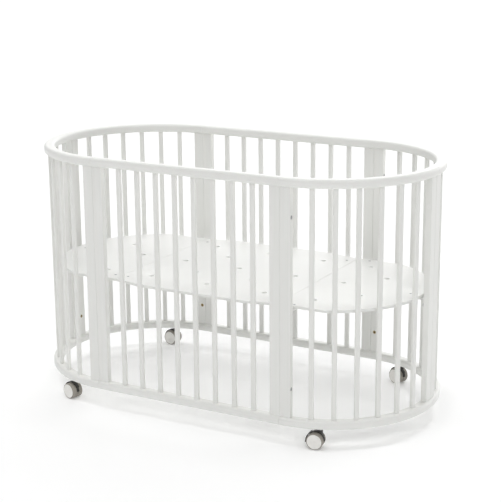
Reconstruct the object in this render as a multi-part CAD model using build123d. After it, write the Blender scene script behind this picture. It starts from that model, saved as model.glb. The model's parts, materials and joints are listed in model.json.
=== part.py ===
from build123d import *
import math
import os

# Oval baby crib on twin-wheel castors.
# Frame: origin on the floor under the middle of the crib, +X along the length, +Z up, millimetres.
# The oval is two straight sides and four quarter-round end sections, bolted together at six posts.

# ---------------------------------------------------------------- driving dimensions
overall_width = 740.0        # outside of the rails, across the crib
overall_height = 860.0       # floor to the top of the top rail
side_length = 686.0          # straight side, from one post seam to the other
rail_above_wheels = 13.0     # from the top of the castor wheels to the bottom rail

rail_width = 36.0
rail_height = 28.0
rail_edge_radius = 9.0

board_width = 36.0           # the upright boards that meet in pairs at the posts
board_thickness = 20.0
board_edge_radius = 2.0
board_tenon_width = 24.0
board_tenon_thickness = 8.0

slat_width = 16.0
slat_thickness = 12.0
slat_edge_radius = 3.0
slats_per_side = 8
slats_per_end = 6

tenon_depth = 10.0           # slats and boards stand this deep in the rails
tenon_clearance = 0.15       # round each tenon, and under its end
seam_gap = 0.3               # between neighbouring sections

connector_inset = 94.0       # from each rail to the connector bolts
low_setting_inset = 74.0     # from the bottom rail to the lowest base setting

bolt_diameter = 8.0
bolt_head_diameter = 13.0
bolt_head_height = 5.0
bolt_head_sink = 1.0         # connector heads sit this far below the board's edge
bolt_socket = 5.0            # hexagon key, across its flats
bolt_hole_clearance = 0.4    # radial, where a bolt passes a clearance hole
bolt_thread_clearance = 0.05 # radial, inside a threaded insert
connector_reach = 16.0       # how far a connector bolt goes into the second board
insert_diameter = 12.0
insert_length = 15.0
insert_clearance = 0.05      # radial, between the insert and its pocket

base_top = 445.0             # mattress base, floor to its upper face
base_thickness = 9.0
base_edge_offset = 24.0      # from the rail centre line to the edge of the base
base_recess_depth = 25.0     # of the waist in the base's edge at each side post
base_recess_start = 150.0    # the waist at a side post starts this far inside its seam
base_recess_flat = 40.0      # and is level from here on
panel_gap = 1.0
vent_diameter = 18.0
vent_seam_inset = 93.0       # outer columns of the middle panel, from the panel seam
vent_edge_inset = 84.0       # outer rows, from the waist in the base's edge
vent_end_x = 49.0            # end panel's row of vents, past the post seam
vent_far_x = 157.0           # its outer pair, past the post seam

bracket_width = 24.0
bracket_thickness = 2.5
bracket_offset = 14.0        # bracket centre from the post seam
bracket_screw_inset = 13.0   # its base screw, inside the waist in the base's edge
bracket_end = 10.0           # from that screw to the end of the horizontal leg
bracket_leg = 37.0           # vertical leg, below the base
bracket_bolt_drop = 21.0     # bolt centre below the underside of the base
bracket_bolt_length = 16.0

seam_plate_length = 74.0
seam_plate_width = 22.0
seam_plate_thickness = 2.5
seam_plate_clearance = 7.0   # between a seam plate and the brackets
seam_screw_offset = 25.0

screw_diameter = 4.4
screw_head_diameter = 9.0
screw_head_height = 2.6
screw_length = 14.0
screw_hole_clearance = 0.05
screw_recess = 3.0           # cross recess, across

castor_angle = 21.0          # degrees along the end rail, from the side seam
castor_headings = {          # which way each castor trails at rest, degrees from +X
    "front_right": 190.0,
    "front_left": 165.0,
    "back_left": 175.0,
    "back_right": 158.0,
}
wheel_radius = 27.0
wheel_width = 12.0
wheel_crown = 3.0            # rounding of the tread's corners
wheel_face_inset = 6.5       # from the tread to the shallow dish in the outer face
wheel_face_depth = 0.8
wheel_skin = 1.2             # closed outer face over the axle's end
wheel_side_gap = 0.5
castor_trail = 15.0
web_thickness = 9.0
web_inset = 5.0              # from the tread to the edge of the web
hood_gap = 1.6               # between tread and hood
hood_thickness = 2.2
hood_width = 12.0            # across the web; the wheels stand clear on both sides
hood_start_angle = 72.0      # round the wheel centre, from the trailing side upward
hood_end_angle = 152.0
boss_radius = 8.0
swivel_gap = 0.3
flange_radius = 11.0
flange_thickness = 2.0
stem_radius = 4.0
stem_clearance = 0.06
stem_lower_length = 13.0
stem_upper_length = 14.0
stem_bore_floor = 1.0        # below the stem's end
axle_radius = 2.5
axle_clearance = 0.05
axle_end_gap = 0.4

pedal_pivot_inset = 7.0      # from the tread inward
pedal_pivot_angle = 60.0
pedal_pin_radius = 2.0
pedal_pin_clearance = 0.05
pedal_tongue_thickness = 4.4
pedal_slot_clearance = 0.3   # beside the tongue and past its end
pedal_slot_side_clearance = 0.5  # above and below the tongue
pedal_tongue_width = 7.0
pedal_gap = 1.9              # between tread and pedal
pedal_thickness = 2.2
pedal_width = 22.0
pedal_low_angle = -8.0
pedal_high_angle = 62.0
pedal_lip_radius = 2.2
pedal_lift = 18.0            # degrees from locked, down, to released

# ---------------------------------------------------------------- derived places
castor_height = 2 * wheel_radius + rail_above_wheels
half_side = side_length / 2
centre_radius = (overall_width - rail_width) / 2
bottom_rail_top = castor_height + rail_height
top_rail_bottom = overall_height - rail_height
upright_height = top_rail_bottom - bottom_rail_top
board_centre = board_width / 2 + seam_gap / 2
connector_heights = (bottom_rail_top + connector_inset, top_rail_bottom - connector_inset)
base_bottom = base_top - base_thickness
bracket_bolt_height = base_bottom - bracket_bolt_drop
low_setting_height = bottom_rail_top + low_setting_inset
panel_seam_x = half_side - board_width
base_radius = centre_radius - base_edge_offset
base_recess_half_width = base_radius - base_recess_depth
bracket_screw_radius = base_edge_offset + base_recess_depth + bracket_screw_inset
bracket_reach = bracket_screw_radius + bracket_end
seam_plate_y = centre_radius - bracket_reach - seam_plate_clearance - seam_plate_width / 2
vent_pitch_x = panel_seam_x - vent_seam_inset
vent_pitch_y = base_recess_half_width - vent_edge_inset
wheel_face_radius = wheel_radius - wheel_face_inset
web_radius = wheel_radius - web_inset
pedal_pivot_radius = wheel_radius - pedal_pivot_inset
insert_radius = insert_diameter / 2
bolt_radius = bolt_diameter / 2
arc_length = centre_radius * math.pi / 2


def on_oval(angle, along=0.0, height=0.0):
    """Place on the rail's centre line: local x points outward, local y along the rail."""
    return Rot(0, 0, angle) * Pos(centre_radius, along, height)


def even_places(start, stop, count, width):
    """Centres of count pieces of the given width, with equal gaps between start and stop."""
    gap = (stop - start - count * width) / (count + 1)
    return [start + (gap + width) * k + gap + width / 2 for k in range(count)]


def rounded_post(across, along, height, radius):
    """Upright rounded bar from z = 0: across is local x, along is local y."""
    return extrude(RectangleRounded(across, along, radius), height)


# ---------------------------------------------------------------- slats and their places
side_slat_places = even_places(-half_side + board_width, half_side - board_width, slats_per_side, slat_width)
end_slat_arcs = even_places(board_width, arc_length - board_width, slats_per_end, slat_width)
end_slat_angles = [-90 + math.degrees(arc / centre_radius) for arc in end_slat_arcs]
side_slat_locations = [on_oval(-90, along) for along in side_slat_places]
end_slat_locations = [on_oval(angle) for angle in end_slat_angles]


def slat():
    """One slat with both tenons, standing in the rails."""
    length = upright_height + 2 * tenon_depth
    bar = rounded_post(slat_thickness, slat_width, length, slat_edge_radius)
    return Pos(0, 0, bottom_rail_top - tenon_depth) * bar


def tenon_pockets(locations, across, along, radius):
    """Pockets for both rails at each location."""
    grow = 2 * tenon_clearance
    pocket = rounded_post(across + grow, along + grow, tenon_depth + tenon_clearance, radius)
    low = [place * Pos(0, 0, bottom_rail_top - tenon_depth - tenon_clearance) * pocket for place in locations]
    high = [place * Pos(0, 0, top_rail_bottom) * pocket for place in locations]
    return low, high


# ---------------------------------------------------------------- rails
def rail_section():
    """Rounded section of a rail in the XZ plane, at the centre radius."""
    return Plane.XZ * Pos(centre_radius, rail_height / 2) * RectangleRounded(
        rail_width, rail_height, rail_edge_radius
    )


def side_rail(height):
    """Straight rail of the front side."""
    length = side_length - seam_gap
    return Pos(0, 0, height) * Rot(0, 0, -90) * Pos(0, length / 2, 0) * extrude(rail_section(), length)


def end_rail(height):
    """Quarter-round rail, from the side seam at -90 degrees to the apex seam at 0."""
    gap_angle = math.degrees(seam_gap / 2 / centre_radius)
    arc = revolve(rail_section(), Axis.Z, 90 - 2 * gap_angle)
    return Pos(0, 0, height) * Rot(0, 0, -90 + gap_angle) * arc


board_radius = board_edge_radius / 2
side_board_locations = [on_oval(-90, sign * (half_side - board_centre)) for sign in (-1, 1)]
end_board_locations = [on_oval(-90, board_centre), on_oval(0, -board_centre)]

side_low, side_high = tenon_pockets(side_slat_locations, slat_thickness, slat_width, slat_edge_radius)
side_board_low, side_board_high = tenon_pockets(
    side_board_locations, board_tenon_thickness, board_tenon_width, board_radius
)
end_low, end_high = tenon_pockets(end_slat_locations, slat_thickness, slat_width, slat_edge_radius)
end_board_low, end_board_high = tenon_pockets(
    end_board_locations, board_tenon_thickness, board_tenon_width, board_radius
)

castor_place = on_oval(-90 + castor_angle)
castor_insert_pocket = castor_place * Pos(0, 0, castor_height) * Cylinder(
    insert_radius + insert_clearance, insert_length, align=(Align.CENTER, Align.CENTER, Align.MIN)
)

front_bottom_rail = side_rail(castor_height) - side_low - side_board_low
front_top_rail = side_rail(top_rail_bottom) - side_high - side_board_high
end_bottom_rail = end_rail(castor_height) - end_low - end_board_low - castor_insert_pocket
end_top_rail = end_rail(top_rail_bottom) - end_high - end_board_high


# ---------------------------------------------------------------- upright boards
def rod(radius, start, stop, axis):
    """Cylinder about a local axis through the origin, from start to stop along it."""
    bar = Pos(0, 0, start) * Cylinder(radius, stop - start, align=(Align.CENTER, Align.CENTER, Align.MIN))
    turns = {"x": Rot(0, 90, 0), "y": Rot(-90, 0, 0), "z": Rot(0, 0, 0)}
    return turns[axis] * bar


def board(seam_side, takes_insert, takes_bracket):
    """Upright board in its own place; seam_side is +1 or -1, the local y side that meets its neighbour."""
    body = Pos(0, 0, bottom_rail_top) * rounded_post(
        board_thickness, board_width, upright_height, board_edge_radius
    )
    tenons = Pos(0, 0, bottom_rail_top - tenon_depth) * rounded_post(
        board_tenon_thickness, board_tenon_width, upright_height + 2 * tenon_depth, board_radius
    )
    body = body + tenons
    half = board_width / 2
    for height in connector_heights:
        if takes_insert:
            pocket = rod(insert_radius + insert_clearance, half - insert_length, half, "y")
            pilot = rod(bolt_radius + bolt_hole_clearance, half - insert_length * 1.6, half, "y")
            hole = pocket + pilot
        else:
            shank = rod(bolt_radius + bolt_hole_clearance, -half, half, "y")
            sink = bolt_head_height + bolt_head_sink
            head_pocket = rod(bolt_head_diameter / 2 + bolt_hole_clearance, -half, sink - half, "y")
            hole = shank + head_pocket
        if seam_side < 0:
            hole = Rot(0, 0, 180) * hole
        body = body - Pos(0, 0, height) * hole
    if takes_bracket:
        across = seam_side * (board_centre - bracket_offset)
        face = -board_thickness / 2
        pocket = rod(insert_radius + insert_clearance, face, face + insert_length, "x")
        for height in (bracket_bolt_height, low_setting_height):
            body = body - Pos(0, across, height) * pocket
    return body


# ---------------------------------------------------------------- fasteners
def threaded_insert():
    """Sleeve along local z, its mouth at z = 0 and its body below."""
    sleeve = rod(insert_radius, -insert_length, 0, "z")
    return sleeve - rod(bolt_radius + bolt_thread_clearance, -insert_length, 0, "z")


def bolt(shank_length):
    """Socket-head bolt along local z: the head's top at z = 0, the shank below it."""
    head = rod(bolt_head_diameter / 2, -bolt_head_height, 0, "z")
    head = fillet(head.edges().group_by(Axis.Z)[-1], 0.8)
    shank = rod(bolt_radius, -bolt_head_height - shank_length, -bolt_head_height, "z")
    key = extrude(RegularPolygon(bolt_socket / math.sqrt(3), 6), -bolt_head_height / 2)
    return head + shank - key


def base_screw():
    """Countersunk screw along local z, its head flush at z = 0."""
    head = Pos(0, 0, -screw_head_height / 2) * Cone(
        screw_diameter / 2, screw_head_diameter / 2, screw_head_height
    )
    shank = rod(screw_diameter / 2, -screw_length, -screw_head_height, "z")
    recess = extrude(Rectangle(screw_recess, 0.9) + Rectangle(0.9, screw_recess), -1.4)
    return head + shank - recess


connector_length = board_width - bolt_head_height - bolt_head_sink + seam_gap + connector_reach
toward_minus_y = Rot(-90, 0, 0)     # a bolt's head then faces local +y
toward_plus_y = Rot(90, 0, 0)       # a bolt's head then faces local -y
facing_inward = Rot(0, -90, 0)      # a bolt's head then faces local -x

# Right half of the crib; the left half is its mirror image.
side_post_bolt = on_oval(-90, seam_gap / 2 + board_width - bolt_head_sink) * toward_minus_y
side_post_insert = on_oval(-90, -seam_gap / 2) * toward_minus_y
right_side_post = Pos(half_side, 0, 0)
apex_bolt = on_oval(0, -(seam_gap / 2 + board_width - bolt_head_sink)) * toward_plus_y
apex_insert = on_oval(0, seam_gap / 2) * toward_plus_y


def mirrored_y(shapes):
    """The shapes and their mirror images across the crib's long axis."""
    return shapes + [mirror(shape, Plane.XZ) for shape in shapes]


def mirrored_x(shapes):
    """The shapes and their mirror images across the crib's short axis."""
    return shapes + [mirror(shape, Plane.YZ) for shape in shapes]


def at_heights(place, shape, heights):
    """Copies of a shape at a plan place, one at each height."""
    return [right_side_post * Pos(0, 0, height) * place * shape for height in heights]


connector = bolt(connector_length)
sleeve = threaded_insert()
connector_bolts = mirrored_y(at_heights(side_post_bolt, connector, connector_heights))
connector_bolts += at_heights(apex_bolt, connector, connector_heights)
connector_bolts = mirrored_x(connector_bolts)

bracket_heights = (bracket_bolt_height, low_setting_height)
bracket_face = -board_thickness / 2
bracket_spots = [on_oval(-90, bracket_offset), on_oval(0, -bracket_offset)]

inserts = mirrored_y(at_heights(side_post_insert, sleeve, connector_heights))
inserts += at_heights(apex_insert, sleeve, connector_heights)
for spot in bracket_spots:
    mouth = spot * Pos(bracket_face, 0, 0) * facing_inward
    inserts += mirrored_y(at_heights(mouth, sleeve, bracket_heights))
castor_mouth = castor_place * Pos(0, 0, castor_height) * Rot(180, 0, 0)
inserts += mirrored_y([right_side_post * castor_mouth * sleeve])
inserts = mirrored_x(inserts)


# ---------------------------------------------------------------- base brackets
def base_bracket():
    """Steel angle at a board: the vertical leg on its inner face, the other under the base."""
    leg = Pos(bracket_face - bracket_thickness / 2, 0, base_bottom - bracket_leg / 2) * Box(
        bracket_thickness, bracket_width, bracket_leg
    )
    run = bracket_reach + bracket_face
    shelf = Pos(bracket_face - run / 2, 0, base_bottom - bracket_thickness / 2) * Box(
        run, bracket_width, bracket_thickness
    )
    angle = leg + shelf
    angle = fillet(angle.edges().filter_by(Axis.Z).group_by(Axis.X)[0], bracket_width / 4)
    bolt_hole = Pos(0, 0, bracket_bolt_height) * rod(
        bolt_radius + bolt_hole_clearance, bracket_face - 2 * bracket_thickness, bracket_face, "x"
    )
    screw_hole = Pos(-bracket_screw_radius, 0, 0) * rod(
        screw_diameter / 2 + screw_hole_clearance, base_bottom - 2 * bracket_thickness, base_bottom, "z"
    )
    return angle - bolt_hole - screw_hole


bracket = base_bracket()
base_brackets = mirrored_x(mirrored_y([right_side_post * spot * bracket for spot in bracket_spots]))

bracket_bolt = bolt(bracket_bolt_length)
bolt_seat = bracket_face - bracket_thickness - bolt_head_height
bracket_bolts = []
for spot in bracket_spots:
    seat = spot * Pos(bolt_seat, 0, 0) * facing_inward
    bracket_bolts += mirrored_y(at_heights(seat, bracket_bolt, (bracket_bolt_height,)))
bracket_bolts = mirrored_x(bracket_bolts)

# ---------------------------------------------------------------- mattress base
screw_spots = [
    right_side_post * spot * Pos(-bracket_screw_radius, 0, base_top) for spot in bracket_spots
]
seam_screw_xs = (panel_seam_x - seam_screw_offset, panel_seam_x + seam_screw_offset)
screw_spots += [Pos(x, -seam_plate_y, base_top) for x in seam_screw_xs]
screw = base_screw()
base_screws = mirrored_x(mirrored_y([spot * screw for spot in screw_spots]))

vents = [(x, y) for x in (-vent_pitch_x, 0, vent_pitch_x) for y in (-vent_pitch_y, 0, vent_pitch_y)]
vents += [(sx * vent_pitch_x / 2, sy * vent_pitch_y / 2) for sx in (-1, 1) for sy in (-1, 1)]
for side in (-1, 1):
    vents += [(side * (half_side + vent_end_x), y) for y in (-vent_pitch_y, 0, vent_pitch_y)]
    vents += [(side * (half_side + vent_far_x), sy * vent_pitch_y / 2) for sy in (-1, 1)]


def base_outline():
    """Oval outline of the base, with its waists at the side posts."""
    outline = SlotCenterToCenter(side_length, 2 * base_radius)
    beyond = base_radius + panel_gap
    far_x = half_side + base_radius / 2
    waist = make_face(Polyline(
        (half_side - base_recess_start, beyond),
        (half_side - base_recess_start, base_radius),
        (half_side - base_recess_flat, base_recess_half_width),
        (far_x, base_recess_half_width),
        (far_x, beyond),
        close=True,
    ))
    for cut in mirrored_x(mirrored_y([waist])):
        outline = outline - cut
    return outline


base_slab = Pos(0, 0, base_bottom) * extrude(base_outline(), base_thickness)
for x, y in vents:
    base_slab -= Pos(x, y, 0) * rod(vent_diameter / 2, base_bottom - 1, base_top + 1, "z")
screw_cut = Pos(0, 0, -screw_head_height / 2) * Cone(
    screw_diameter / 2 + screw_hole_clearance, screw_head_diameter / 2 + screw_hole_clearance, screw_head_height
)
screw_cut = screw_cut + rod(screw_diameter / 2 + screw_hole_clearance, -base_thickness, 0, "z")
for cut in mirrored_x(mirrored_y([spot * screw_cut for spot in screw_spots])):
    base_slab -= cut

panel_edge = panel_seam_x + panel_gap / 2
overall_length = side_length + overall_width
end_block = Pos((panel_edge + overall_length / 2) / 2, 0, base_top - base_thickness / 2) * Box(
    overall_length / 2 - panel_edge, overall_width, 2 * base_thickness
)
middle_block = Pos(0, 0, base_top - base_thickness / 2) * Box(
    2 * panel_seam_x - panel_gap, overall_width, 2 * base_thickness
)
base_panel_right = base_slab & end_block
base_panel_middle = base_slab & middle_block
base_panel_left = mirror(base_panel_right, Plane.YZ)


def seam_plate():
    """Flat steel plate under a panel seam, near a side post."""
    plate = Pos(panel_seam_x, -seam_plate_y, base_bottom - seam_plate_thickness) * extrude(
        RectangleRounded(seam_plate_length, seam_plate_width, seam_plate_width / 4), seam_plate_thickness
    )
    for x in seam_screw_xs:
        plate -= Pos(x, -seam_plate_y, 0) * rod(
            screw_diameter / 2 + screw_hole_clearance, base_bottom - 2 * seam_plate_thickness, base_bottom, "z"
        )
    return plate


seam_plates = mirrored_x(mirrored_y([seam_plate()]))

# ---------------------------------------------------------------- castors
# Castor frame: swivel axis at x = y = 0, trail along +x, floor at z = 0.
hub = Pos(castor_trail, 0, wheel_radius)
wheel_inner = web_thickness / 2 + wheel_side_gap
wheel_outer = wheel_inner + wheel_width
hood_inner_radius = wheel_radius + hood_gap
boss_top = castor_height - flange_thickness - swivel_gap


def around_wheel(radius, angle):
    """Point at a radius and angle round the wheel centre, in the XZ plane of the castor frame."""
    turn = math.radians(angle)
    return (castor_trail + radius * math.cos(turn), wheel_radius + radius * math.sin(turn))


def shell_strip(inner_radius, thickness, width, low_angle, high_angle):
    """Curved strip round the wheel's axis between two angles."""
    middle = inner_radius + thickness / 2
    section = Pos(middle, 0) * Rectangle(thickness, width)
    strip = revolve(section, Axis.Y, high_angle - low_angle)
    return hub * Rot(0, -high_angle, 0) * strip


pivot_x, pivot_z = around_wheel(pedal_pivot_radius, pedal_pivot_angle)
pivot = Pos(pivot_x, 0, pivot_z)


def tongue_blade(width, thickness, reach):
    """Blade from the pedal's pivot outward to its strip."""
    blade = Pos(reach / 2, 0, 0) * Box(reach, thickness, width)
    round_end = rod(width / 2, -thickness / 2, thickness / 2, "y")
    return pivot * Rot(0, -pedal_pivot_angle, 0) * (blade + round_end)


pedal_inner_radius = wheel_radius + pedal_gap
tongue_reach = pedal_inner_radius - pedal_pivot_radius + pedal_thickness / 2


def castor_housing():
    """Web between the wheels, hood over them and boss round the stem, in one moulding."""
    web = hub * rod(web_radius, -web_thickness / 2, web_thickness / 2, "y")
    neck_top = castor_height - flange_thickness - swivel_gap - stem_lower_length / 2
    neck = Pos(castor_trail / 2, 0, (wheel_radius + neck_top) / 2) * Box(
        castor_trail + 2 * stem_radius, web_thickness, neck_top - wheel_radius
    )
    hood = shell_strip(hood_inner_radius, hood_thickness, hood_width, hood_start_angle, hood_end_angle)
    boss = rod(boss_radius, wheel_radius, boss_top, "z")
    boss = boss - hub * rod(hood_inner_radius, -wheel_outer, wheel_outer, "y")
    top_web = hub * rod(hood_inner_radius + hood_thickness / 2, -web_thickness / 2, web_thickness / 2, "y")
    leading_quarter = hub * Pos(-hood_inner_radius, 0, hood_inner_radius) * Box(
        2 * hood_inner_radius, web_thickness, 2 * hood_inner_radius
    )
    housing = web + neck + hood + boss + (top_web & leading_quarter)
    stem_bore_bottom = castor_height - flange_thickness - stem_lower_length - stem_bore_floor
    housing -= rod(stem_radius + stem_clearance, stem_bore_bottom, castor_height, "z")
    housing -= hub * rod(axle_radius, -web_thickness, web_thickness, "y")
    slot_width = pedal_tongue_thickness + 2 * pedal_slot_clearance
    slot_swing = tongue_blade(
        pedal_tongue_width + 2 * pedal_slot_side_clearance, slot_width, tongue_reach + pedal_slot_clearance
    )
    for lift in (0.0, pedal_lift / 2, pedal_lift):
        swung = pivot * Rot(0, -lift, 0) * Pos(-pivot_x, 0, -pivot_z) * slot_swing
        housing -= swung
    housing -= pivot * rod(pedal_pin_radius + pedal_pin_clearance, -web_thickness, web_thickness, "y")
    return housing


def castor_axle():
    """Steel axle, fixed in the web, its ends inside the wheels."""
    half = wheel_outer - wheel_skin - axle_end_gap
    return hub * rod(axle_radius, -half, half, "y")


def castor_wheel():
    """Wheel on the +y side: rounded tread, dished outer face and a blind bore for the axle."""
    tread = hub * rod(wheel_radius, wheel_inner, wheel_outer, "y")
    tread = fillet(tread.edges().filter_by(GeomType.CIRCLE), wheel_crown)
    tread -= hub * rod(wheel_face_radius, wheel_outer - wheel_face_depth, wheel_outer, "y")
    return tread - hub * rod(axle_radius + axle_clearance, wheel_inner, wheel_outer - wheel_skin, "y")


def brake_pedal():
    """Brake pedal: a curved strip behind the wheels, a tongue into the web and its moulded pin."""
    strip = shell_strip(pedal_inner_radius, pedal_thickness, pedal_width, pedal_low_angle, pedal_high_angle)
    lip_x, lip_z = around_wheel(pedal_inner_radius + pedal_lip_radius, pedal_low_angle)
    lip = Pos(lip_x, 0, lip_z) * rod(pedal_lip_radius, -pedal_width / 2, pedal_width / 2, "y")
    tongue = tongue_blade(pedal_tongue_width, pedal_tongue_thickness, tongue_reach)
    pin = pivot * rod(pedal_pin_radius, -web_thickness / 2, web_thickness / 2, "y")
    return strip + lip + tongue + pin


def castor_stem():
    """Stem with a flange under the rail: a threaded end above, the swivel pin below."""
    flange_bottom = castor_height - flange_thickness
    flange = rod(flange_radius, flange_bottom, castor_height, "z")
    flange = fillet(flange.edges().group_by(Axis.Z)[0], flange_thickness / 3)
    lower = rod(stem_radius, flange_bottom - stem_lower_length, flange_bottom, "z")
    upper = rod(stem_radius, castor_height, castor_height + stem_upper_length, "z")
    return flange + lower + upper


castor_parts = {
    "housing": castor_housing(),
    "axle": castor_axle(),
    "left_wheel": castor_wheel(),
    "right_wheel": mirror(castor_wheel(), Plane.XZ),
    "brake_pedal": brake_pedal(),
}
castor_spot = (right_side_post * castor_place).position
corner_signs = {
    "front_right": (1, 1),
    "front_left": (-1, 1),
    "back_left": (-1, -1),
    "back_right": (1, -1),
}

# ---------------------------------------------------------------- nodes
nodes = {}
side_boards = {
    "left": side_board_locations[0] * board(-1, True, False),
    "right": side_board_locations[1] * board(1, True, False),
}
front_side = {
    "top_rail": front_top_rail,
    "bottom_rail": front_bottom_rail,
    "slats": Compound(children=[place * slat() for place in side_slat_locations]),
    "left_board": side_boards["left"],
    "right_board": side_boards["right"],
}
for name, shape in front_side.items():
    nodes[f"front_side_{name}"] = shape
back_names = {"left_board": "right_board", "right_board": "left_board"}
for name, shape in front_side.items():
    nodes[f"back_side_{back_names.get(name, name)}"] = Rot(0, 0, 180) * shape

end_slats = Compound(children=[right_side_post * place * slat() for place in end_slat_locations])
for corner, (sign_x, sign_y) in corner_signs.items():
    front = sign_y > 0
    end_section = {
        "top_rail": right_side_post * end_top_rail,
        "bottom_rail": right_side_post * end_bottom_rail,
        "slats": end_slats,
        "side_board": right_side_post * end_board_locations[0] * board(-1, False, True),
        "apex_board": right_side_post * end_board_locations[1] * board(1, not front, True),
    }
    for name, shape in end_section.items():
        if sign_x < 0:
            shape = mirror(shape, Plane.YZ)
        if sign_y < 0:
            shape = mirror(shape, Plane.XZ)
        nodes[f"{corner}_end_{name}"] = shape

nodes["base_panel_left"] = base_panel_left
nodes["base_panel_middle"] = base_panel_middle
nodes["base_panel_right"] = base_panel_right
nodes["base_seam_plates"] = Compound(children=seam_plates)
nodes["base_brackets"] = Compound(children=base_brackets)
nodes["base_screws"] = Compound(children=base_screws)
nodes["bracket_bolts"] = Compound(children=bracket_bolts)
nodes["connector_bolts"] = Compound(children=connector_bolts)
nodes["threaded_inserts"] = Compound(children=inserts)

stems = []
for corner, (sign_x, sign_y) in corner_signs.items():
    spot = Pos(sign_x * castor_spot.X, sign_y * castor_spot.Y, 0)
    stems.append(spot * castor_stem())
    for name, shape in castor_parts.items():
        nodes[f"{corner}_castor_{name}"] = spot * Rot(0, 0, castor_headings[corner]) * shape
nodes["castor_stems"] = Compound(children=stems)

os.makedirs("parts", exist_ok=True)
for name, shape in nodes.items():
    export_step(shape, f"parts/{name}.step")
print(len(nodes), "nodes")
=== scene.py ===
"""Looks of the oval baby crib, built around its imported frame.

The crib is a lacquered oval of rails, slats and paired boards, a perforated mattress base
in three panels and four twin-wheel castors. Lengths are metres and angles are radians,
in the frame's own axes: +X along the crib, +Y to the back side, +Z up.
"""

import json
import logging
import math
from collections.abc import Iterable, Sequence
from dataclasses import dataclass, field
from enum import Enum

import bmesh
import bpy
from mathutils import Matrix, Vector


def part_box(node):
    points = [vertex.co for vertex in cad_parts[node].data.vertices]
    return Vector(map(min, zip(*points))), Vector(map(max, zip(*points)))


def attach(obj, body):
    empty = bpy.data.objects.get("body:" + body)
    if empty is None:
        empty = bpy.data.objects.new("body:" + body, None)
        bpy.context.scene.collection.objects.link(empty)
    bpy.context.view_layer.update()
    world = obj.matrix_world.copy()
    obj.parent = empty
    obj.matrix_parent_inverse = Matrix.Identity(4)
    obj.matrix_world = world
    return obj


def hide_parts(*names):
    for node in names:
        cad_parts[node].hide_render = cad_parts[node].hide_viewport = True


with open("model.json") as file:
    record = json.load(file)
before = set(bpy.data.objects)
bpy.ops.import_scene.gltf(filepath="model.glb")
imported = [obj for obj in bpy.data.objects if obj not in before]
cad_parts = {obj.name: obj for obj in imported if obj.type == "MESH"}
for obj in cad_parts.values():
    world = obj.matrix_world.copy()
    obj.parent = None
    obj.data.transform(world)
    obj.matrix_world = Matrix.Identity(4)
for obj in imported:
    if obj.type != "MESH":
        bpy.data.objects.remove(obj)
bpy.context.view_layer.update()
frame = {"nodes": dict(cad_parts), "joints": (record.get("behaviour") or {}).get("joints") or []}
RUN_ATTRIBUTE = "run"
HOLE_ATTRIBUTE = "hole_radius"
POINT_WELD = 1e-6
SEAM_WELD = 1e-5
WELL_ROUNDED = math.radians(60)
SENSOR_WIDTH_MM = 36.0
FAR_CLIP = 200.0
LOG = logging.getLogger("crib")

Colour = tuple[float, float, float, float]
Point = tuple[float, float]


# ================================================================ node helpers
class NodeBuilder:
    """Adds nodes to a node tree and links them as it goes.

    Args:
        tree: The node tree that the nodes are added to.
    """

    def __init__(self, tree: bpy.types.NodeTree) -> None:
        """Keeps the tree.

        Args:
            tree: The node tree that the nodes are added to.
        """
        self.tree = tree

    def add(
        self, kind: str, inputs: dict[str | int, object] | None = None, **settings: object
    ) -> bpy.types.Node:
        """Adds one node.

        Args:
            kind: The node's type name.
            inputs: For each input, by name or number, a socket to link or a plain value.
            **settings: Properties of the node itself.

        Returns:
            The new node.
        """
        node = self.tree.nodes.new(kind)
        for name, setting in settings.items():
            setattr(node, name, setting)
        for key, source in (inputs or {}).items():
            if isinstance(source, bpy.types.NodeSocket):
                self.tree.links.new(source, node.inputs[key])
            else:
                node.inputs[key].default_value = source
        return node


class ShapeTree(NodeBuilder):
    """A Geometry Nodes tree with named inputs, ending in realized, dressed geometry.

    Args:
        name: The tree's name.
    """

    def __init__(self, name: str) -> None:
        """Makes the empty tree with its output, and its seed and finish inputs.

        Args:
            name: The tree's name.
        """
        super().__init__(bpy.data.node_groups.new(name, "GeometryNodeTree"))
        self.tree.interface.new_socket("Geometry", in_out="OUTPUT", socket_type="NodeSocketGeometry")
        self._entry = self.tree.nodes.new("NodeGroupInput")
        self._exit = self.tree.nodes.new("NodeGroupOutput")
        self.seed = self.named_input("Seed", "NodeSocketGeometry")
        self._finish = self.named_input("Finish", "NodeSocketMaterial")

    def named_input(self, name: str, kind: str) -> bpy.types.NodeSocket:
        """Adds a named input and returns its socket inside the tree."""
        self.tree.interface.new_socket(name, in_out="INPUT", socket_type=kind)
        return self._entry.outputs[name]

    def close(self, geometry: bpy.types.NodeSocket) -> bpy.types.NodeTree:
        """Ends the tree with Realize Instances and Set Material.

        Args:
            geometry: The socket that carries the finished shape.

        Returns:
            The tree, ready for a modifier.
        """
        realized = self.add("GeometryNodeRealizeInstances", {"Geometry": geometry})
        dressed = self.add(
            "GeometryNodeSetMaterial", {"Geometry": realized.outputs["Geometry"], "Material": self._finish}
        )
        self.tree.links.new(dressed.outputs["Geometry"], self._exit.inputs["Geometry"])
        return self.tree


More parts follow.
